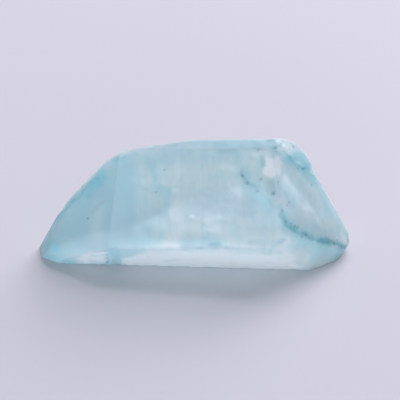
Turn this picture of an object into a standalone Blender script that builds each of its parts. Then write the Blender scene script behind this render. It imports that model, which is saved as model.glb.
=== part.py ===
# A rough point of blue quartz: one six-sided crystal lying on a prism face, pointed at its
# -X end and broken off at its +X end. Metres, +Z up. The shaping is done in millimetres about
# a datum on the resting face under the crystal's axis, and moved to the box's foot at the end.

import bmesh
import bpy
from math import cos, radians, sin
from mathutils import Matrix, Vector

MM = 0.001
STOCK = 60.0             # side of the block that the faces are cut from
RHOMB_SLOPE = 30.0       # elevation of the prism faces and of the point's upper faces
EDGE_WEAR = 0.16         # width of the worn edges
WEAR_ANGLE = 12.0        # edges that bend by less than this stay as they are
SPHERE_DETAIL = 5
CHIP_DETAIL = 2

# Each face: the compass direction that it looks in (0 is -Y, 90 is +X), its elevation,
# and its distance from the datum. The six prism faces stand 60 degrees apart, give or take
# the few degrees by which this crystal tapers towards its point.
PRISM_FACES = {
    "rest": (0.0, -90.0, 0.0),
    "front_low": (-2.6, -RHOMB_SLOPE, 3.28),
    "front_high": (-8.0, RHOMB_SLOPE, 8.84),
    "crest": (-90.0, 86.1, 16.43),
    "back_high": (178.2, 30.5, 9.52),
    "back_high_left": (-169.4, 25.9, 8.42),
    "back_low": (-177.7, -RHOMB_SLOPE, 4.51),
}
POINT_FACES = {
    "point_front": (-33.8, 28.8, 12.02),
    "point_side": (-47.5, 34.4, 14.35),
    "point_tip": (-81.8, 25.0, 18.23),
    "point_back": (-160.1, 13.2, 7.40),
    "point_top": (-158.5, 48.1, 13.83),
    "point_foot": (-28.6, -14.4, 10.70),
}
BROKEN_FACES = {
    "knob_side": (49.9, 25.4, 15.20),
    "break_low": (27.2, -5.2, 10.59),
    "break_crown": (69.5, 44.4, 19.18),
    "break_crown_back": (143.5, 26.5, 14.71),
    "break_back": (140.2, 12.7, 12.90),
    "break_heel": (87.0, -28.6, 17.01),
}
# The stone that lies outside both of these has broken away, which leaves a knob above the break.
STEP_FACES = {
    "break_main": (52.6, 28.5, 15.55),
    "knob_foot": (-20.5, -36.5, -11.87),
}
OUTER_FACES = {**PRISM_FACES, **POINT_FACES, **BROKEN_FACES}
FACES = {**OUTER_FACES, **STEP_FACES}

# Shell-shaped scars left by blows: face, place, radius of the scar, depth.
SCARS = {
    "shell_upper": ("break_main", (16.6, -0.6, 7.6), 2.2, 0.12),
    "shell_inner": ("break_main", (12.9, -4.4, 8.8), 2.2, 0.16),
    "shell_seam": ("break_main", (15.2, -4.4, 6.0), 2.2, 0.22),
    "shell_lower": ("break_low", (16.4, -3.2, 1.9), 2.4, 0.12),
    "shell_back": ("break_back", (15.0, 4.6, 6.0), 4.4, 0.75),
    "shell_back_high": ("break_back", (12.6, 4.9, 11.5), 2.4, 0.40),
    "front_dish": ("front_high", (9.0, -5.2, 11.0), 1.7, 0.07),
    "crest_dish": ("crest", (8.4, 0.6, 16.9), 1.1, 0.12),
    "back_dish": ("back_high", (-1.5, 4.6, 11.0), 3.0, 0.16),
    "back_pit": ("back_low", (4.0, 7.0, 3.2), 2.0, 0.22),
    "point_dish": ("point_front", (-12.2, -2.8, 8.4), 2.0, 0.07),
    "point_back_dish": ("point_back", (-13.0, 3.6, 6.4), 2.2, 0.16),
}

# Chips out of edges: place on the edge, radius of the chip, how far it bites in.
CHIPS = {
    "corner_a": ((-11.7, 0.3, 14.1), 1.9, 0.08),
    "corner_b": ((-10.2, 0.2, 15.2), 2.1, 0.08),
    "corner_c": ((-8.4, 0.1, 16.1), 1.7, 0.10),
    "point_edge_a": ((-13.9, 0.2, 11.0), 1.7, 0.05),
    "point_edge_b": ((-16.8, -0.1, 7.2), 2.2, 0.05),
    "tip": ((-20.2, -2.0, 1.4), 1.9, 0.14),
    "crest_a": ((5.4, -1.1, 16.9), 1.4, 0.13),
    "crest_b": ((8.6, -1.3, 17.1), 1.7, 0.12),
    "crest_c": ((-1.6, -0.8, 16.4), 1.2, 0.10),
    "foot_a": ((-11.1, -3.4, 0.0), 1.2, 0.13),
    "foot_b": ((-9.6, -3.5, 0.0), 1.1, 0.10),
    "foot_c": ((9.2, -4.3, 0.0), 1.2, 0.11),
    "foot_d": ((16.6, -3.3, 0.0), 1.7, 0.08),
    "heel": ((20.0, -1.0, 1.8), 1.7, 0.10),
    "break_edge": ((11.4, -6.4, 8.8), 1.7, 0.10),
    "knob_edge": ((14.4, 1.6, 13.7), 1.5, 0.08),
    "back_edge": ((2.5, 8.0, 4.9), 2.2, 0.18),
}
# The chips' bites point at the crystal's core: a line along its middle, shorter than it is.
CORE_Y = 0.6
CORE_Z = 6.5
CORE_LENGTH = 0.55       # as a share of the crystal's own
CHIP_TURN = 47.0         # each chip is turned and leant by this much more than the one before
CHIP_LEAN = 29.0

# Ledges on the break: the face, a point on the ledge's lip, another along it, its drop.
# The stone is lower on the -X side of the lip.
LEDGES = {
    "ledge_high": ("break_main", (10.7, -3.0, 13.6), (15.9, -2.6, 6.4), 0.10),
}
LEDGE_TILT = 2.0         # how much the lowered part slopes up to meet the face again
LEDGE_STOCK = 4.0        # thickness of the slab that cuts a ledge

# A shallow trough across the lower front face, where growth was interrupted.
TROUGH_FACE = "front_low"
TROUGH_AT = (-10.3, -4.8, 2.6)
TROUGH_WIDTH = 1.5
TROUGH_DEPTH = 0.14
TROUGH_STOCK = 2.0       # thickness of the bar that cuts it

STONE_COLOUR = (0.42, 0.60, 0.68, 1.0)
STONE_ROUGHNESS = 0.25
STONE_IOR = 1.544
STONE_CLEARNESS = 0.8


def clear_scene():
    for obj in list(bpy.data.objects):
        bpy.data.objects.remove(obj)


def outward(name):
    azimuth, elevation = (radians(angle) for angle in FACES[name][:2])
    level = cos(elevation)
    return Vector((level * sin(azimuth), -level * cos(azimuth), sin(elevation)))


def on_face(name, place):
    """The nearest point of the face's plane to a place."""
    normal = outward(name)
    spot = Vector(place)
    return spot - normal * (normal.dot(spot) - FACES[name][2])


def in_scene(name, mesh):
    obj = bpy.data.objects.new(name, mesh)
    bpy.context.scene.collection.objects.link(obj)
    return obj


def as_cutter(obj, subject):
    obj.hide_render = True
    obj.display_type = "WIRE"
    cut = subject.modifiers.new(obj.name, "BOOLEAN")
    cut.operation = "DIFFERENCE"
    cut.solver = "EXACT"
    cut.object = obj


def cut_block(name, faces, keep_inside):
    """A block cut by each face's plane in turn, of which the inner or the outer side stays."""
    mesh = bpy.data.meshes.new(name)
    block = bmesh.new()
    bmesh.ops.create_cube(block, size=STOCK)
    bmesh.ops.translate(block, verts=block.verts, vec=(0, 0, STOCK / 4))
    for face in faces:
        normal = outward(face)
        everything = block.verts[:] + block.edges[:] + block.faces[:]
        bmesh.ops.bisect_plane(
            block, geom=everything, dist=1e-5, plane_co=normal * FACES[face][2], plane_no=normal,
            clear_outer=keep_inside, clear_inner=not keep_inside,
        )
        rim = [edge for edge in block.edges if edge.is_boundary]
        bmesh.ops.contextual_create(block, geom=rim)
    bmesh.ops.recalc_face_normals(block, faces=block.faces)
    block.to_mesh(mesh)
    block.free()
    return in_scene(name, mesh)


def wear_edges(stone):
    wear = stone.modifiers.new("worn edges", "BEVEL")
    wear.width = EDGE_WEAR
    wear.segments = 2
    wear.limit_method = "ANGLE"
    wear.angle_limit = radians(WEAR_ANGLE)


def ball(name, centre, radius, detail=SPHERE_DETAIL):
    mesh = bpy.data.meshes.new(name)
    shape = bmesh.new()
    bmesh.ops.create_icosphere(shape, subdivisions=detail, radius=radius)
    bmesh.ops.translate(shape, verts=shape.verts, vec=centre)
    shape.to_mesh(mesh)
    shape.free()
    return in_scene(name, mesh)


def scar(name):
    """A ball that dips into a face by the scar's depth, over the scar's radius."""
    face, place, radius, depth = SCARS[name]
    curve = (radius * radius + depth * depth) / (2 * depth)
    centre = on_face(face, place) + outward(face) * (curve - depth)
    return ball(name, centre, curve)


def chip(name, number):
    """A small faceted lump taken out of an edge, turned differently at each place."""
    place, radius, bite = CHIPS[name]
    spot = Vector(place)
    out = (spot - Vector((spot.x * CORE_LENGTH, CORE_Y, CORE_Z))).normalized()
    obj = ball(name, (0, 0, 0), radius, detail=CHIP_DETAIL)
    turn = Matrix.Rotation(radians(CHIP_TURN * number), 4, "Z")
    lean = Matrix.Rotation(radians(CHIP_LEAN * number), 4, "X")
    obj.data.transform(Matrix.Translation(spot + out * (radius - bite)) @ turn @ lean)
    return obj


def slab(name, middle, along, across, normal, size):
    """A box whose three sides run along the three directions."""
    mesh = bpy.data.meshes.new(name)
    shape = bmesh.new()
    bmesh.ops.create_cube(shape, size=1.0)
    turn = Matrix((along, across, normal)).transposed().to_4x4()
    place = Matrix.Translation(middle) @ turn @ Matrix.Diagonal((*size, 1.0))
    bmesh.ops.transform(shape, matrix=place, verts=shape.verts)
    shape.to_mesh(mesh)
    shape.free()
    return in_scene(name, mesh)


def ledge(name):
    """A slab laid on the break, lower at its lip, that runs out of the stone away from it."""
    face, start, end, drop = LEDGES[name]
    normal = outward(face)
    lip = on_face(face, start)
    along = (on_face(face, end) - lip).normalized()
    across = along.cross(normal)
    if across.x > 0:
        across.negate()
    tilt = Matrix.Rotation(radians(LEDGE_TILT), 3, along)
    if (tilt @ across).dot(normal) < 0:
        tilt.transpose()
    across = tilt @ across
    up = along.cross(across)
    if up.dot(normal) < 0:
        up.negate()
    length = STOCK / 2
    reach = drop / sin(radians(LEDGE_TILT))
    middle = lip - normal * drop + across * reach / 2 + up * LEDGE_STOCK / 2
    if Matrix((along, across, up)).determinant() < 0:
        along = -along
    return slab(name, middle, along, across, up, (length, reach, LEDGE_STOCK))


def trough():
    normal = outward(TROUGH_FACE)
    along = Vector((0, 0, 1)).cross(normal).normalized()
    uphill = normal.cross(along)
    middle = on_face(TROUGH_FACE, TROUGH_AT) + normal * (TROUGH_STOCK / 2 - TROUGH_DEPTH)
    size = (TROUGH_WIDTH, STOCK / 4, TROUGH_STOCK)
    return slab("trough", middle, along, uphill, normal, size)


def stone_material():
    material = bpy.data.materials.new("blue quartz")
    material.use_nodes = True
    surface = material.node_tree.nodes["Principled BSDF"]
    surface.inputs["Base Color"].default_value = STONE_COLOUR
    surface.inputs["Roughness"].default_value = STONE_ROUGHNESS
    surface.inputs["Metallic"].default_value = 0.0
    surface.inputs["IOR"].default_value = STONE_IOR
    surface.inputs["Transmission Weight"].default_value = STONE_CLEARNESS
    material.diffuse_color = STONE_COLOUR
    return material


def finished(blank):
    """The cut stone as a plain mesh, in metres, with its box's foot at the origin."""
    graph = bpy.context.evaluated_depsgraph_get()
    mesh = bpy.data.meshes.new_from_object(blank.evaluated_get(graph))
    mesh.name = "crystal"
    mesh.transform(Matrix.Scale(MM, 4))
    low = Vector(min(v.co[i] for v in mesh.vertices) for i in range(3))
    high = Vector(max(v.co[i] for v in mesh.vertices) for i in range(3))
    foot = Vector(((low.x + high.x) / 2, (low.y + high.y) / 2, low.z))
    mesh.transform(Matrix.Translation(-foot))
    mesh.materials.clear()
    mesh.materials.append(stone_material())
    print("datum to origin, mm:", [round(c / MM, 3) for c in foot])
    return in_scene("crystal", mesh)


def main():
    clear_scene()
    blank = cut_block("crystal_blank", OUTER_FACES, keep_inside=True)
    wear_edges(blank)
    as_cutter(cut_block("step", STEP_FACES, keep_inside=False), blank)
    as_cutter(trough(), blank)
    for name in LEDGES:
        as_cutter(ledge(name), blank)
    for name in SCARS:
        as_cutter(scar(name), blank)
    for number, name in enumerate(CHIPS):
        as_cutter(chip(name, number), blank)
    finished(blank)
    blank.hide_render = True
    blank.display_type = "WIRE"


main()
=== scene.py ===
import math

import bmesh
import bpy
import numpy as np
from mathutils import Matrix, Vector, noise


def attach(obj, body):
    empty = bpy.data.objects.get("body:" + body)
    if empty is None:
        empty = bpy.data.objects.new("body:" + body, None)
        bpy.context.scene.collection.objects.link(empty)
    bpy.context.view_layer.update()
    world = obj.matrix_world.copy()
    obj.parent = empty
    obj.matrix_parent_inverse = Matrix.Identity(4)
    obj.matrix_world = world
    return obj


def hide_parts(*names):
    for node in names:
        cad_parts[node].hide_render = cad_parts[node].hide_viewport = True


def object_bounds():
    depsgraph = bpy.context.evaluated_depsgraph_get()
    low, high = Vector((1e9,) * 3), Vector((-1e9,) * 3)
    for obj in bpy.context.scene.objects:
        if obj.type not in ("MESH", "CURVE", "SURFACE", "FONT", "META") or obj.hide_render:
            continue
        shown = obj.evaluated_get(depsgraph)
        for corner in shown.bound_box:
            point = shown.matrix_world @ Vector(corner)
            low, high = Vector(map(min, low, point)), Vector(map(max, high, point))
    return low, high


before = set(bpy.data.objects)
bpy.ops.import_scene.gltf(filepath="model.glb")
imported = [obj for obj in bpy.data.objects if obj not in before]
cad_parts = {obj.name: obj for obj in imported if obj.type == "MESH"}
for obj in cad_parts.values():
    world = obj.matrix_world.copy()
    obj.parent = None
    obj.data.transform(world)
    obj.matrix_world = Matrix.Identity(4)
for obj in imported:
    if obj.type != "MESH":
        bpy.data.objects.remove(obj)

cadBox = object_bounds()
mm = 0.001
datum = np.array([0.011, 0.133, 0.0])  # where the part's origin lies, in the crystal's own millimetres
print("frame loaded, CAD box in mm:", [[round(c / mm, 2) for c in corner] for corner in cadBox])


# helpers for shader trees

class Wire:  # an output socket that takes part in sums
    def __init__(self, graph, socket):
        self.graph = graph
        self.socket = socket

    def sum(self, operation, first, second):
        return self.graph.node("ShaderNodeMath", {"operation": operation}, {0: first, 1: second})

    def __add__(self, other):
        return self.sum("ADD", self, other)

    def __radd__(self, other):
        return self.sum("ADD", other, self)

    def __sub__(self, other):
        return self.sum("SUBTRACT", self, other)

    def __rsub__(self, other):
        return self.sum("SUBTRACT", other, self)

    def __mul__(self, other):
        return self.sum("MULTIPLY", self, other)

    def __rmul__(self, other):
        return self.sum("MULTIPLY", other, self)

    def __truediv__(self, other):
        return self.sum("DIVIDE", self, other)

    def __pow__(self, other):
        return self.sum("POWER", self, other)

    def clamped(self):
        return self.graph.node("ShaderNodeClamp", {}, {"Value": self})


class Graph:
    def __init__(self, tree):
        self.tree = tree
        tree.nodes.clear()

    # settings come first, because some of them change which sockets there are
    def node(self, kind, settings, sockets, output=0):
        made = self.tree.nodes.new(kind)
        for name, value in settings.items():
            setattr(made, name, value)
        for name, value in sockets.items():
            if isinstance(value, Wire):
                self.tree.links.new(value.socket, made.inputs[name])
            else:
                made.inputs[name].default_value = value
        return Wire(self, made.outputs[output]) if made.outputs else made

    def noise(self, where, scale, detail, rough, stretch=(1.0, 1.0, 1.0)):
        placed = self.node("ShaderNodeMapping", {}, {"Vector": where, "Scale": stretch})
        return self.node("ShaderNodeTexNoise", {},
                         {"Vector": placed, "Scale": scale, "Detail": detail, "Roughness": rough})

    def band(self, value, low, high):  # 0 at low, 1 at high, smooth between
        return self.node("ShaderNodeMapRange", {"interpolation_type": "SMOOTHSTEP"},
                         {"Value": value, "From Min": low, "From Max": high})

    def mixed(self, factor, first, second):  # sockets 6, 7 and 2 are the ones for colours
        return self.node("ShaderNodeMix", {"data_type": "RGBA"}, {0: factor, 6: first, 7: second}, output=2)

    def attribute(self, name):
        return self.node("ShaderNodeAttribute", {"attribute_name": name}, {}, output="Fac")

    def place(self, output):
        return self.node("ShaderNodeTexCoord", {}, {}, output)

    def axis(self, vector, name):
        return self.node("ShaderNodeSeparateXYZ", {}, {"Vector": vector}, output=name)


# the crystal: all sizes are in millimetres

stone = {
    "name": "crystal",
    "seed": 7.3,
    "merge": 1e-6,               # metres, for doubles in the CAD mesh
    "voxel": 0.18,               # grain of the fine mesh
    "lineHeight": 0.045,         # growth lines across the prism faces
    "lineWaver": 0.35,
    "lineChange": 0.05,          # how little a growth line changes along its own length
    "swellHeight": 0.07,         # slow waves that bend what is seen through the faces
    "breakHeight": 0.10,         # roughness of the broken end
    "dentDepth": 0.05,
    "dentFrom": (0.35, 0.75),    # where dents start and are full, in the noise's height
    "grooveDepth": 0.07,         # along the narrow teal seams
    "grooveReach": 1.2,          # in the mark's half widths
    "pitDepth": 0.06,
    "pitWander": 0.3,
    "pitFade": (0.5, 1.3),       # in the pit's radii
    "markFade": (0.2, 1.9),      # in the mark's half widths
    "narrow": 0.4,               # marks with a smaller half width keep close to their runs
    "restCalm": 0.9,             # share of the relief that the face it lies on goes without
    # how far a face is turned, as its normal's share of an axis: none of it, all of it
    "endTurn": (0.18, 0.34),     # along X, from which a prism face is left for an end
    "breakTurn": (0.30, 0.48),   # to +X, for the broken end
    "restTurn": (0.85, 0.97),    # downwards, for the face it lies on
    "edgeBend": (0.0015, 0.0070),    # how far an edge stands out: none of the edge's look, all of it
    "edgeSpread": 6,             # times that an edge's bend is spread to its neighbours
    "octaveShift": 17.1,
    # noises over the surface: scale, octaves, shift from the seed
    "noises": {"warp": (0.25, 2, 0), "lines": ((0.7, 1, 1), 2, 0), "swell": ((0.22, 0.16, 0.16), 2, 5),
               "rough": (0.42, 2, 9), "dents": (0.7, 1, 31), "blotch": (0.8, 2, 21)},
    "middle": {"lines": 0.6, "rough": 0.7, "blotch": 0.75},   # what these noises swing about
    # how the marks wander off their runs: scale, shifts for X, Y and Z, size
    "wander": {"near": (0.9, (41, 53, 67), 0.22), "wide": (0.35, (83, 97, 11), 0.80)},
    # corners rubbed a little rounder than the rest: place, radius, how far the stone is drawn in there
    "worn": [((20.3, -0.6, 2.2), 1.3, (-0.45, 0.10, -0.10)), ((19.5, -2.1, 0.5), 2.6, (-0.60, 0.30, 0.0)),
             ((-16.9, 0.1, 7.2), 1.7, (0.13, 0.04, -0.17)), ((10.7, 0.0, 17.2), 0.9, (0.0, 0.0, -0.15)),
             ((14.9, 0.8, 12.3), 1.1, (-0.20, -0.05, -0.18))],
}

# white and grey carry the stone's own pale and grey patches and also painted light and painted shade; dull
# only roughens
tones = ("white", "grey", "blue", "deep", "teal", "dull")
crestRun = [(-9.5, -0.4, 14.9), (-6.0, -0.7, 15.9), (0.0, -1.1, 16.6), (10.0, -1.4, 17.0)]
crownRun = [(-8.0, 1.6, 15.9), (0.0, 1.6, 16.9), (9.0, 1.6, 17.2)]

# where the stone is tinted, whiter, greyer or rubbed dull, and where light and shade are painted on it:
# the tone, how strong it is, its half width, and the run of places on the surface that it follows
marks = {
    # seams and cracks that hold the blue
    "breakSeam": ("teal", 0.52, 0.37, [
        (10.6, -5.9, 10.2), (11.2, -6.2, 9.1), (12.1, -5.9, 8.0), (13.0, -5.4, 7.1), (14.8, -4.6, 5.3)]),
    "lowSeam": ("teal", 0.78, 0.39, [(15.4, -4.2, 4.8), (17.3, -3.0, 3.5), (19.5, -1.8, 1.5)]),
    "seamTop": ("deep", 0.75, 0.38, [(10.4, -5.4, 10.8), (10.8, -5.8, 10.3), (11.2, -5.7, 9.7)]),
    "seamGreen": ("deep", 0.70, 0.50, [(10.8, -6.1, 9.9), (11.6, -6.2, 8.6)]),
    "breakHaze": ("deep", 0.62, 0.95, [
        (11.3, -6.2, 8.8), (12.8, -5.7, 7.0), (15.0, -4.8, 4.8), (18.6, -2.5, 2.0)]),
    "crestCrack": ("teal", 0.75, 0.13, [
        (5.0, -1.0, 16.8), (6.7, -1.4, 16.9), (8.2, -1.5, 17.0), (10.2, -1.4, 17.0)]),
    "crestDark": ("teal", 1.00, 0.24, [(9.2, -1.4, 17.1), (9.9, -1.4, 17.1), (10.2, -1.3, 16.8)]),
    "knobEdge": ("teal", 0.50, 0.15, [
        (10.4, -1.2, 16.6), (11.9, -0.5, 14.9), (12.9, -0.3, 13.5), (14.5, 0.5, 12.4)]),
    "innerCurve": ("teal", 0.30, 0.20, [
        (5.6, -2.8, 14.2), (6.5, -3.5, 13.2), (8.0, -4.3, 12.3), (10.0, -5.5, 10.6)]),
    "innerHaze": ("deep", 0.45, 0.85, [
        (5.6, -2.8, 14.2), (6.5, -3.5, 13.2), (8.0, -4.5, 12.0), (9.0, -5.4, 10.8), (9.9, -6.2, 9.6)]),
    "innerBlobs": ("deep", 0.50, 0.45, [(5.9, -3.1, 13.8), (6.5, -3.6, 13.1)]),
    "footLine": ("teal", 0.30, 0.10, [
        (-19.7, -1.9, 0.3), (-16.4, -3.2, 0.2), (-4.3, -3.8, 0.1), (13.4, -4.6, 0.1)]),
    "bandSpots": ("teal", 0.45, 0.14, [(0.2, -7.0, 5.7), (1.3, -7.1, 5.9)]),
    "bandBlob": ("teal", 0.62, 0.30, [(1.9, -6.9, 6.2), (2.8, -7.0, 6.4)]),
    "bandHaze": ("deep", 0.40, 0.90, [(-0.8, -6.8, 6.4), (2.4, -6.8, 6.5)]),
    # the point
    "pointEdge": ("teal", 0.45, 0.26, [
        (-12.2, -0.4, 11.9), (-14.1, -0.4, 9.8), (-16.5, -0.4, 7.3), (-18.1, -0.2, 4.6),
        (-19.0, -1.6, 2.4)]),
    "pointRim": ("deep", 0.80, 0.60, [
        (-11.8, -0.2, 12.7), (-13.3, -0.4, 11.1), (-15.4, -0.3, 8.8), (-17.6, -0.1, 6.0), (-18.5, 0.2, 3.9),
        (-18.8, -1.5, 2.6)]),
    "pointPatch": ("deep", 0.85, 0.60, [(-11.8, -0.5, 12.2), (-12.6, -0.6, 11.2), (-13.4, -0.7, 10.3)]),
    "pointTop": ("blue", 0.30, 1.40, [(-10.6, -0.5, 13.5), (-10.6, -1.6, 12.0), (-11.0, -2.4, 10.4)]),
    "pointPale": ("white", 0.22, 1.10, [(-12.1, -2.7, 8.7), (-12.5, -3.8, 6.6), (-12.6, -4.8, 4.9)]),
    "tip": ("deep", 0.95, 1.00, [
        (-19.9, -1.0, 0.6), (-19.3, -1.2, 1.8), (-18.7, -2.2, 2.4), (-17.9, -2.8, 2.0)]),
    "tipFoot": ("deep", 1.00, 0.80, [(-19.2, -2.4, 0.9), (-17.8, -3.1, 0.9), (-16.6, -3.5, 0.8)]),
    "streak": ("grey", 0.38, 0.26, [(-11.2, -2.5, 9.9), (-12.1, -2.5, 9.0), (-13.0, -2.5, 7.9)]),
    "cornerLine": ("teal", 0.40, 0.30, [(-10.3, 0.0, 14.4), (-8.9, -0.4, 15.0), (-7.5, -0.4, 15.5)]),
    "bluePanel": ("blue", 0.85, 0.95, [
        (-9.8, -0.5, 14.4), (-8.6, -0.9, 14.1), (-8.5, -2.5, 11.4), (-8.3, -4.1, 8.6)]),
    "panelTop": ("deep", 0.38, 0.38, [(-10.6, 0.2, 14.1), (-9.1, -0.5, 14.6), (-8.3, -0.5, 14.9)]),
    "leftPale": ("white", 0.12, 0.90, [(-13.8, -5.0, 3.4), (-12.5, -5.3, 4.3)]),
    "leftLow": ("grey", 0.50, 0.80, [
        (-18.0, -3.0, 2.1), (-16.6, -3.9, 2.8), (-13.8, -4.8, 4.4), (-10.4, -5.7, 5.4), (-8.4, -5.9, 5.9)]),
    # painted light: the left end of the bright band, the lit floor seen through the stone
    "leftBandLight": ("white", 1.00, 0.39, [
        (-14.1, -4.7, 2.6), (-13.3, -5.0, 3.1), (-12.3, -5.2, 3.4), (-11.7, -5.3, 3.6)]),
    "bandLeft": ("white", 1.00, 1.00, [(-13.9, -4.0, 1.4), (-12.9, -4.2, 1.7), (-12.0, -4.3, 1.8)]),
    "columnFoot": ("deep", 0.50, 0.38, [(-10.7, -5.7, 5.0), (-10.75, -4.9, 3.0), (-10.8, -3.8, 0.8)]),
    "columnBase": ("deep", 0.45, 0.38, [(-10.0, -5.7, 5.0), (-10.05, -5.0, 3.0), (-10.1, -3.8, 0.8)]),
    "columnEdge": ("teal", 0.90, 0.22, [(-9.65, -4.4, 1.8), (-9.7, -3.7, 0.5)]),
    "columnSide": ("teal", 1.00, 0.22, [(-11.2, -4.9, 2.8), (-11.2, -4.2, 1.6), (-11.3, -3.7, 0.7)]),
    # the crest and the knob
    # painted shade: crown, crownFront and crownShade darken the top face, which the key lamp lights more
    # brightly
    "crown": ("deep", 0.15, 2.60, crownRun),
    "crownRight": ("teal", 0.38, 0.90, [(3.0, -0.4, 16.8), (6.0, -0.6, 17.0), (10.0, -0.7, 17.1)]),
    "crownFront": ("grey", 0.70, 0.60, [(-1.0, 0.4, 16.5), (4.3, 0.2, 16.8), (8.7, 0.2, 17.1)]),
    "crownShade": ("grey", 0.95, 2.60, crownRun),
    "crest": ("dull", 1.00, 0.55, crestRun),
    # painted shade along the crest, dimming the highlight on its rounded edge
    "crestShade": ("grey", 0.80, 0.45, crestRun),
    "knobPatch": ("deep", 0.85, 0.95, [
        (12.0, -0.4, 14.8), (12.8, -0.2, 14.5), (13.6, 0.2, 13.8), (14.2, 0.4, 13.0)]),
    "knobWhite": ("white", 1.00, 0.75, [(10.7, -0.4, 17.1), (11.4, -0.1, 16.4), (12.0, -0.2, 15.9)]),
    # painted reflection: a bright patch where the backdrop is reflected inside the stone
    "facetReflection": ("white", 1.00, 0.39, [
        (9.1, -2.3, 15.9), (8.8, -3.0, 14.5), (9.3, -3.2, 14.3), (9.5, -2.2, 15.8), (9.9, -2.1, 15.8),
        (9.8, -3.2, 14.3), (10.3, -3.0, 14.2), (10.3, -1.9, 15.6), (10.8, -1.9, 15.2)]),
    "corner": ("grey", 0.70, 0.39, [(8.1, -2.2, 16.0), (8.3, -2.6, 15.4)]),
    # the low front face: its bright band is painted light, the lit floor and backdrop seen through the stone
    "band": ("white", 1.00, 1.60, [(-5.2, -5.7, 3.3), (0.0, -5.7, 3.2), (11.0, -5.8, 2.9)]),
    "bandEdge": ("dull", 1.00, 0.45, [
        (-15.4, -4.2, 2.2), (-10.0, -6.1, 4.9), (0.3, -7.0, 5.7), (9.6, -7.5, 6.1)]),
    "bandStart": ("white", 1.00, 0.90, [(-8.5, -4.6, 1.8), (-6.5, -5.1, 2.4)]),
    "bandFoot": ("white", 1.00, 1.20, [(-7.9, -4.2, 0.9), (0.0, -4.4, 0.9), (12.0, -4.8, 0.9)]),
    "bandTop": ("white", 0.65, 0.60, [(-5.8, -6.5, 5.2), (-3.9, -6.5, 5.6), (-2.0, -6.8, 5.6)]),
    "bandShade": ("grey", 0.50, 0.39, [(6.8, -7.3, 6.8), (8.5, -7.6, 6.7)]),
    "underSeam": ("grey", 0.90, 0.39, [(9.7, -7.3, 6.7), (10.3, -7.2, 6.9), (10.9, -7.0, 6.8)]),
    # the high front face
    # partly the stone's own mottling, partly painted light: the bright floor seen through the stone
    "mottled": ("white", 0.22, 1.70, [(-3.2, -5.6, 6.9), (4.0, -5.8, 7.0), (8.2, -6.2, 6.9)]),
    # painted shade: shade, beltShade and rightShade lay a grey belt across the high front face, the shade
    # seen through the stone
    "shade": ("grey", 0.62, 0.90, [(0.6, -3.8, 11.3), (3.6, -4.2, 11.3), (6.8, -4.7, 11.3)]),
    "beltShade": ("grey", 0.66, 0.90, [(0.3, -4.3, 10.5), (3.6, -4.7, 10.3), (6.8, -5.2, 10.2)]),
    "greyLeft": ("grey", 0.70, 0.75, [(-4.6, -4.5, 9.3), (-3.2, -5.2, 8.3)]),
    "greenPatch": ("deep", 0.42, 0.60, [(-3.9, -3.3, 11.0), (-3.4, -3.9, 10.2), (-3.2, -4.5, 9.2)]),
    "greenSpot": ("deep", 0.35, 0.40, [(-5.1, -3.0, 11.4), (-4.6, -3.0, 11.4)]),
    "greenLeft": ("deep", 0.28, 0.60, [(-8.0, -4.6, 7.9), (-7.1, -4.5, 8.3), (-6.3, -5.1, 7.3)]),
    "veilLeft": ("white", 0.25, 0.45, [(-7.7, -2.1, 12.3), (-5.8, -2.2, 12.5)]),
    "veilHigh": ("white", 0.28, 0.50, [(3.1, -2.2, 14.8), (4.3, -2.4, 14.7)]),
    "veilTall": ("white", 0.52, 0.38, [
        (1.6, -4.7, 9.9), (1.6, -6.0, 7.8), (2.1, -6.0, 7.8), (2.1, -4.8, 9.9), (2.7, -4.8, 9.9),
        (2.7, -6.0, 7.9)]),
    "veilMid": ("white", 0.10, 0.80, [(-1.6, -4.9, 8.9), (-1.0, -5.9, 7.2)]),
    # painted shade on the lower right of the high front face
    "rightShade": ("grey", 0.34, 1.70, [(0.5, -4.3, 10.4), (4.0, -4.8, 10.0), (7.6, -5.8, 8.6)]),
    "paleHigh": ("white", 0.20, 0.60, [(-4.5, -1.0, 14.9), (-4.5, -2.0, 13.2), (-4.5, -2.5, 12.3)]),
    # the broken end
    # painted highlight along a ridge of the broken end
    "ridgeHighlight": ("white", 0.60, 0.42, [
        (10.7, -3.0, 13.6), (13.2, -2.9, 10.1), (16.2, -2.4, 6.2), (18.0, -1.3, 4.7)]),
    "speckled": ("grey", 0.62, 0.85, [
        (9.6, -3.9, 12.8), (11.8, -4.4, 10.6), (14.4, -4.0, 7.2), (17.4, -2.2, 4.4)]),
    # painted shade: darkens the broken end, which the key lamp lights too brightly
    "breakShade": ("grey", 0.45, 0.80, [
        (13.5, -1.4, 11.3), (14.8, -2.0, 8.7), (16.2, -2.4, 6.2), (18.0, -1.7, 4.1)]),
    "breakRim": ("deep", 0.48, 0.80, [
        (14.7, 0.4, 11.6), (15.8, 0.2, 9.7), (16.9, 0.0, 7.8), (18.0, -0.4, 5.9), (19.0, -0.7, 4.0)]),
    "footBlue": ("deep", 0.45, 1.00, [(16.6, -3.8, 3.3), (18.0, -2.9, 2.1), (18.6, -2.5, 0.9)]),
    "lowBlue": ("blue", 0.85, 1.20, [(15.7, -4.1, 2.0), (17.8, -3.0, 1.4), (19.2, -2.2, 1.2)]),
    "cornerBlue": ("deep", 0.75, 0.39, [
        (18.2, -2.6, 1.3), (18.8, -2.4, 0.8), (19.3, -2.1, 1.1), (19.7, -1.5, 1.8)]),
    "heelBlue": ("deep", 0.80, 0.39, [
        (19.3, -0.8, 3.7), (19.9, -0.7, 2.7), (20.1, -0.8, 2.1), (19.7, -1.4, 1.8)]),
}

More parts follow.
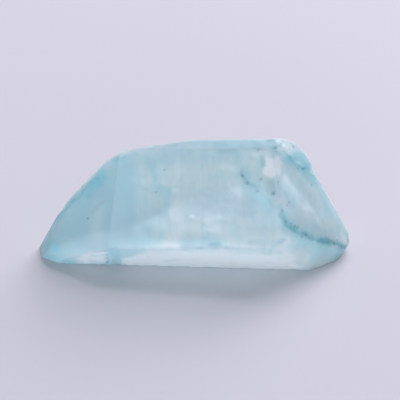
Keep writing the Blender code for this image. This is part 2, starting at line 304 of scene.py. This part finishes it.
# little pits full of blue: place, radius
pits = [
    ((8.1, -3.5, 13.7), 0.16), ((9.6, -4.5, 12.3), 0.25), ((10.3, -3.7, 13.4), 0.20),
    ((10.4, -4.8, 12.0), 0.15), ((10.6, -5.2, 11.3), 0.14), ((11.7, -4.2, 10.7), 0.16),
    ((11.4, -4.7, 10.6), 0.14), ((10.8, -5.6, 10.5), 0.23), ((14.7, -0.4, 10.6), 0.15),
    ((13.4, -5.5, 6.3), 0.16), ((12.4, -5.5, 8.0), 0.20), ((13.8, -5.0, 6.3), 0.20),
    ((18.1, -2.2, 3.3), 0.18), ((16.3, -3.8, 4.1), 0.20), ((17.7, -2.8, 3.1), 0.22),
    ((19.7, -1.7, 1.5), 0.18), ((18.5, -2.5, 0.7), 0.18), ((17.6, -3.0, 0.3), 0.16),
    ((11.7, -4.9, 1.0), 0.12), ((-8.5, -4.1, 1.2), 0.13), ((-11.1, -4.1, 1.3), 0.14),
    ((-11.1, -3.7, 0.6), 0.15), ((-9.7, -3.8, 0.7), 0.15), ((7.6, -4.2, 12.4), 0.14),
    ((7.3, 0.0, 17.0), 0.14), ((7.7, -1.6, 16.8), 0.15), ((9.9, -1.4, 17.0), 0.34),
    ((12.2, 0.5, 15.9), 0.24), ((-13.7, -2.7, 7.1), 0.16), ((-11.8, 0.6, 13.2), 0.14),
    ((5.85, -3.05, 13.85), 0.18), ((6.4, -3.55, 13.2), 0.20), ((-3.9, -1.7, 13.9), 0.13),
    ((-4.9, -3.0, 11.4), 0.14), ((12.0, -5.7, 8.5), 0.15), ((12.8, -5.3, 7.7), 0.14),
    ((14.4, -4.9, 5.6), 0.14), ((15.6, -4.2, 4.6), 0.16), ((16.7, -3.5, 3.7), 0.17),
    ((17.3, -2.9, 3.6), 0.14), ((18.4, -2.5, 2.5), 0.16), ((18.9, -2.2, 2.1), 0.14),
    ((12.8, -0.5, 13.3), 0.15), ((13.5, 0.0, 12.9), 0.18), ((14.0, 0.5, 12.6), 0.15),
    ((11.3, -6.0, 9.1), 0.14), ((4.5, -3.9, 11.9), 0.14),
]


def fineMesh(source):
    merged = source.data.copy()
    shape = bmesh.new()
    shape.from_mesh(merged)
    bmesh.ops.remove_doubles(shape, verts=shape.verts, dist=stone["merge"])
    shape.to_mesh(merged)
    shape.free()
    merged.transform(Matrix.Scale(1 / mm, 4))
    piece = bpy.data.objects.new("fine", merged)
    bpy.context.scene.collection.objects.link(piece)
    remesh = piece.modifiers.new("grain", "REMESH")
    remesh.mode = "VOXEL"
    remesh.voxel_size = stone["voxel"]
    graph = bpy.context.evaluated_depsgraph_get()
    made = bpy.data.meshes.new_from_object(piece.evaluated_get(graph))
    bpy.data.objects.remove(piece)
    return made


def smooth(value, low, high):
    t = np.clip((value - low) / (high - low), 0, 1)
    return t * t * (3 - 2 * t)


def noiseAt(points, scale, octaves, shift):
    shift += stone["seed"]
    scale = np.broadcast_to(np.asarray(scale, float), (3,))
    total = np.zeros(len(points))
    size = 1.0
    for octave in range(octaves):
        where = points * scale * 2 ** octave + shift + stone["octaveShift"] * octave
        total += size * np.array([noise.noise(p) for p in where])
        size *= 0.5
    return total


def wander(place, kind):
    scale, shifts, size = stone["wander"][kind]
    return np.stack([noiseAt(place, scale, 2, shift) for shift in shifts], 1) * size


def distanceTo(points, run):
    best = np.full(len(points), np.inf)
    for a, b in zip(run[:-1], run[1:]):
        a, b = np.array(a, float), np.array(b, float)
        t = np.clip((points - a) @ (b - a) / ((b - a) @ (b - a)), 0, 1)
        best = np.minimum(best, np.linalg.norm(points - a - t[:, None] * (b - a), axis=1))
    return best


def distanceFrom(points, spot):
    return np.linalg.norm(points - np.array(spot), axis=1)


def readPoints(mesh, what):
    out = np.empty(len(mesh.vertices) * 3, np.float32)
    mesh.vertices.foreach_get(what, out)
    return out.reshape(-1, 3).astype(float)


def keep(mesh, name, values):
    layer = mesh.attributes.new(name, "FLOAT", "POINT")
    layer.data.foreach_set("value", np.clip(values, 0, 1).astype(np.float32))


def edgeAmount(mesh, place, normal):  # how sharply the surface bends outward at each point
    pairs = np.empty(len(mesh.edges) * 2, np.int32)
    mesh.edges.foreach_get("vertices", pairs)
    a, b = pairs.reshape(-1, 2).T
    count = np.bincount(a, minlength=len(place)) + np.bincount(b, minlength=len(place))

    def around(values):
        total = np.bincount(a, values[b], len(place)) + np.bincount(b, values[a], len(place))
        return total / np.maximum(count, 1)

    near = np.stack([around(place[:, k]) for k in range(3)], 1)
    bend = ((place - near) * normal).sum(1)
    for turn in range(stone["edgeSpread"]):
        bend = around(bend)
    return smooth(bend, *stone["edgeBend"])


def grainHeight(place, normal, broken, standing):  # the stone's own relief, cut into its flat faces
    noises, middle = stone["noises"], stone["middle"]
    prism = 1 - smooth(np.abs(normal[:, 0]), *stone["endTurn"])
    across = place[:, 0] + stone["lineWaver"] * noiseAt(place, *noises["warp"])
    along = place[:, 1:] * stone["lineChange"]
    lines = noiseAt(np.column_stack([across, along]), *noises["lines"])
    swell = noiseAt(place, *noises["swell"])
    rough = noiseAt(place, *noises["rough"])
    dents = smooth(noiseAt(place, *noises["dents"]), *stone["dentFrom"])

    height = -stone["lineHeight"] * prism * (middle["lines"] + lines)
    height -= stone["swellHeight"] * (0.5 + 0.5 * swell) * standing
    height -= stone["breakHeight"] * broken * (middle["rough"] + rough)
    height -= stone["dentDepth"] * dents * standing
    return height


def makeCrystal(source):
    mesh = fineMesh(source)
    place = readPoints(mesh, "co") + datum
    normal = readPoints(mesh, "normal")
    edge = edgeAmount(mesh, place, normal)
    broken = smooth(normal[:, 0], *stone["breakTurn"])
    rest = smooth(-normal[:, 2], *stone["restTurn"])
    standing = 1 - rest
    height = grainHeight(place, normal, broken, standing)

    near, wide = wander(place, "near"), wander(place, "wide")
    blotch = stone["middle"]["blotch"] + noiseAt(place, *stone["noises"]["blotch"])
    fadeFrom, fadeTo = stone["markFade"]
    amounts = {tone: np.zeros(len(place)) for tone in (*tones, "pits")}
    for tone, strength, half, run in marks.values():
        narrow = half < stone["narrow"]
        gap = distanceTo(place + (near if narrow else wide), run)
        full = strength * (blotch if tone == "teal" else 1)
        amount = full * (1 - smooth(gap, half * fadeFrom, half * fadeTo))
        amounts[tone] = np.maximum(amounts[tone], amount)
        if tone == "teal" and narrow:
            groove = 1 - smooth(gap, 0.0, half * stone["grooveReach"])
            height -= stone["grooveDepth"] * strength * groove * standing
    fadeFrom, fadeTo = stone["pitFade"]
    for spot, radius in pits:
        gap = distanceFrom(place + stone["pitWander"] * near, spot)
        amounts["pits"] = np.maximum(amounts["pits"], 1 - smooth(gap, radius * fadeFrom, radius * fadeTo))
        height -= stone["pitDepth"] * (1 - smooth(gap, 0, radius)) * standing

    height = np.minimum(height * (1 - stone["restCalm"] * rest), 0.0)
    moved = place - datum + normal * height[:, None]
    for spot, radius, shift in stone["worn"]:
        moved += (1 - smooth(distanceFrom(place, spot), 0, radius))[:, None] * np.array(shift)
    low, high = (np.array(corner) for corner in cadBox)
    moved = np.clip(moved * mm, low, high)
    mesh.vertices.foreach_set("co", moved.astype(np.float32).ravel())
    for name, amount in {**amounts, "broken": broken, "edge": edge}.items():
        keep(mesh, name, amount)
    mesh.shade_smooth()
    mesh.update()
    piece = bpy.data.objects.new(stone["name"] + "Stone", mesh)
    bpy.context.scene.collection.objects.link(piece)
    mesh.materials.clear()
    mesh.materials.append(quartz())
    print("crystal:", len(mesh.polygons), "faces")
    return piece


# the quartz

look = {
    "pale": (0.73, 0.795, 0.80, 1.0),
    "aqua": (0.60, 0.765, 0.77, 1.0),
    "blue": (0.51, 0.72, 0.77, 1.0),
    "deep": (0.29, 0.63, 0.69, 1.0),
    "teal": (0.06, 0.37, 0.42, 1.0),
    "white": (0.93, 1.0, 1.0, 1.0),
    "grey": (0.44, 0.57, 0.61, 1.0),
    "pit": (0.09, 0.25, 0.33, 1.0),
    # noises: scale per metre, detail, roughness, stretch
    "noises": {"cloud": (300.0, 4.0, 0.6, (1.0, 1.0, 1.0)), "plume": (620.0, 3.0, 0.6, (1.0, 0.45, 0.45)),
               "fine": (1400.0, 3.0, 0.6, (1.0, 1.0, 1.0)), "fibre": (1500.0, 2.0, 0.55, (1.0, 0.12, 0.12)),
               "streak": (420.0, 3.0, 0.6, (1.0, 0.3, 0.3))},
    # tints that the noises lay over the stone: noise, where it starts, where it is full, amount, tint
    "clouding": [("plume", 0.52, 0.70, 0.36, "white"), ("plume", 0.48, 0.32, 0.28, "deep"),
                 ("fibre", 0.50, 0.70, 0.13, "white"), ("fibre", 0.46, 0.30, 0.11, "deep")],
    "paleToAqua": (0.35, 0.75),   # in the cloud noise
    # marks that a noise makes patchy: tone, noise, amount where the noise is 0, how much it adds
    "patchy": [("grey", "fine", 0.6, 0.7), ("deep", "cloud", 0.5, 1.0), ("teal", "cloud", 0.6, 0.7)],
    "streaks": {"from": 0.35, "to": 0.65, "least": 0.65, "more": 0.9, "solid": 0.3, "solidPower": 4},
    # the blue point, in millimetres: its end leans and wavers
    "point": {"from": -11.0, "to": -4.0, "height": 11.0, "lean": 0.35, "waver": 3.0, "amount": 0.85},
    "pitAmount": 0.7,
    # how much convex edges are painted greyer: painted shade over the highlights along them
    "edgeShade": 0.35,
    "edgeWhite": 0.8,          # share of the edges' shade that white patches go without
    "rough": {"all": 0.285, "dull": 0.35, "edge": 0.6, "broken": 0.06, "fine": 0.05, "fineFrom": (0.4, 0.8)},
    "bump": (0.05, 0.00012),   # strength, depth in metres
    "clear": 0.6,              # share of the light that passes
    "index": 1.544,
    "absorb": (0.30, 0.78, 0.84, 1.0),
    "density": 26.0,           # per metre
    "milk": (0.8, 1.0, 1.05),
    "milkDepth": 0.006,        # metres
}


def stoneTint(g, where, noises, tone):
    point = look["point"]
    x, z = (g.axis(where, name) / mm for name in "XZ")
    slant = x + (z - point["height"]) * point["lean"] + (noises["cloud"] - 0.5) * point["waver"]
    pointBlue = 1 - g.band(slant, point["from"], point["to"])

    tint = g.mixed(g.band(noises["cloud"], *look["paleToAqua"]), look["pale"], look["aqua"])
    for name, start, full, amount, over in look["clouding"]:
        tint = g.mixed(g.band(noises[name], start, full) * amount, tint, look[over])
    tint = g.mixed(pointBlue * point["amount"], tint, look["blue"])
    tint = g.mixed(tone["blue"], tint, look["blue"])

    streaks = look["streaks"]
    white = tone["white"]
    patches = streaks["least"] + streaks["more"] * g.band(noises["streak"], streaks["from"], streaks["to"])
    streaked = white * patches + white ** streaks["solidPower"] * streaks["solid"]
    tint = g.mixed(streaked.clamped(), tint, look["white"])
    for name, grain, least, more in look["patchy"]:
        tint = g.mixed((tone[name] * (least + more * noises[grain])).clamped(), tint, look[name])
    tint = g.mixed(tone["pits"] * look["pitAmount"], tint, look["pit"])
    # convex edges are painted greyer: painted shade that dims the highlights the lamps leave along them
    shade = tone["edge"] * (1 - white * white * look["edgeWhite"]) * look["edgeShade"]
    return g.mixed(shade, tint, look["grey"])


def quartz():
    material = bpy.data.materials.new("blueQuartz")
    material.use_nodes = True
    g = Graph(material.node_tree)
    where = g.place("Object")
    tone = {name: g.attribute(name) for name in (*tones, "pits", "broken", "edge")}
    noises = {name: g.noise(where, *values) for name, values in look["noises"].items()}

    rough = look["rough"]
    worn = (tone["dull"] + rough["edge"] * tone["edge"]).clamped()
    roughness = rough["all"] + rough["dull"] * worn + rough["broken"] * tone["broken"]
    roughness = roughness + rough["fine"] * g.band(noises["fine"], *rough["fineFrom"])
    strength, depth = look["bump"]
    bump = g.node("ShaderNodeBump", {}, {"Height": noises["fine"], "Strength": strength, "Distance": depth})
    surface = g.node("ShaderNodeBsdfPrincipled", {}, {
        "Base Color": stoneTint(g, where, noises, tone), "Roughness": roughness, "Normal": bump,
        "IOR": look["index"], "Transmission Weight": look["clear"], "Subsurface Weight": 1.0,
        "Subsurface Radius": look["milk"], "Subsurface Scale": look["milkDepth"]})
    inside = g.node("ShaderNodeVolumeAbsorption", {}, {"Color": look["absorb"], "Density": look["density"]})
    g.node("ShaderNodeOutputMaterial", {}, {"Surface": surface, "Volume": inside})
    print("quartz made")
    return material


crystal = makeCrystal(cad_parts["crystal"])
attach(crystal, "root")
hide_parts("crystal")


# floor and light

studio = {
    "floorSize": 3.0,
    "floorColour": (0.43, 0.425, 0.45, 1.0),
    "floorGlow": (0.065, 0.08, 0.09, 1.0),   # a back-lit sheet, so shadows stay pale
    "floorRoughness": 0.9,
    "floorShine": 0.1,
    "sky": (0.745, 0.80, 0.87, 1.0),
    "skyStrength": 0.355,
    "backStrength": 0.40,                    # how much brighter the sky is at the back
    "backFrom": (-0.6, 0.8),                 # where it starts and is full, as a direction's share of Y
    "lamps": {"key": ((0.23, 0.38, 0.46), (0.5, 0.6), 6.6, (0.97, 0.885, 0.99)),  # place, size, watts, colour
              "fill": ((-0.05, -0.50, 0.03), (0.5, 0.05), 3.0, (0.91, 0.90, 1.0))},
}


def makeFloor():
    half = studio["floorSize"] / 2
    corners = [(-half, -half, 0), (half, -half, 0), (half, half, 0), (-half, half, 0)]
    mesh = bpy.data.meshes.new("floor")
    mesh.from_pydata(corners, [], [(0, 1, 2, 3)])
    floor = bpy.data.objects.new("floor", mesh)
    bpy.context.scene.collection.objects.link(floor)
    material = bpy.data.materials.new("paleFloor")
    material.use_nodes = True
    g = Graph(material.node_tree)
    surface = g.node("ShaderNodeBsdfPrincipled", {}, {
        "Base Color": studio["floorColour"], "Emission Color": studio["floorGlow"], "Emission Strength": 1.0,
        "Roughness": studio["floorRoughness"], "Specular IOR Level": studio["floorShine"]})
    g.node("ShaderNodeOutputMaterial", {}, {"Surface": surface})
    mesh.materials.append(material)


def makeSky():
    world = bpy.data.worlds.new("studio")
    world.use_nodes = True
    g = Graph(world.node_tree)
    back = g.band(g.axis(g.place("Generated"), "Y"), *studio["backFrom"])
    strength = back * studio["backStrength"] + studio["skyStrength"]
    air = g.node("ShaderNodeBackground", {}, {"Color": studio["sky"], "Strength": strength})
    g.node("ShaderNodeOutputWorld", {}, {"Surface": air})
    bpy.context.scene.world = world


def makeLamp(name, place, size, power, colour):  # a soft panel that faces the stone
    lamp = bpy.data.lights.new(name, "AREA")
    lamp.shape = "RECTANGLE"
    lamp.size, lamp.size_y = size
    lamp.color = colour
    lamp.energy = power
    shown = bpy.data.objects.new(name, lamp)
    shown.location = place
    shown.rotation_euler = (-Vector(place)).to_track_quat("-Z", "Y").to_euler()
    bpy.context.scene.collection.objects.link(shown)


# camera

view = {
    "elevation": 36.0,
    "distance": 0.215,
    "aim": (0.0, 0.0, 7.5),        # in the crystal's millimetres
    "picture": 400,                # side of the picture in pixels
    "focal": 1690.0,               # in pixels
    "aimAt": (195.7, 203.3),       # the pixel that the aim point falls on
    "sensor": 36.0,                # in millimetres, as Blender's cameras give it
    "nearClip": 0.01,              # metres
}


def makeCamera():
    lift = math.radians(view["elevation"])
    back = Vector((0, -math.cos(lift), math.sin(lift)))
    right = Vector((1, 0, 0))
    up = back.cross(right)
    aim = (Vector(view["aim"]) - Vector(datum)) * mm
    pixel = view["distance"] / view["focal"]
    half = view["picture"] / 2
    slide = right * (half - view["aimAt"][0]) * pixel + up * (view["aimAt"][1] - half) * pixel
    lens = bpy.data.cameras.new("camera")
    lens.sensor_width = view["sensor"]
    lens.lens = view["focal"] / view["picture"] * lens.sensor_width
    lens.clip_start = view["nearClip"]
    camera = bpy.data.objects.new("camera", lens)
    camera.location = aim + back * view["distance"] + slide
    camera.rotation_euler = back.to_track_quat("Z", "Y").to_euler()
    bpy.context.scene.collection.objects.link(camera)
    bpy.context.scene.camera = camera


makeFloor()
makeSky()
for lampName, settings in studio["lamps"].items():
    makeLamp(lampName, *settings)
makeCamera()
bpy.context.scene.view_settings.view_transform = "Standard"
print("studio ready")
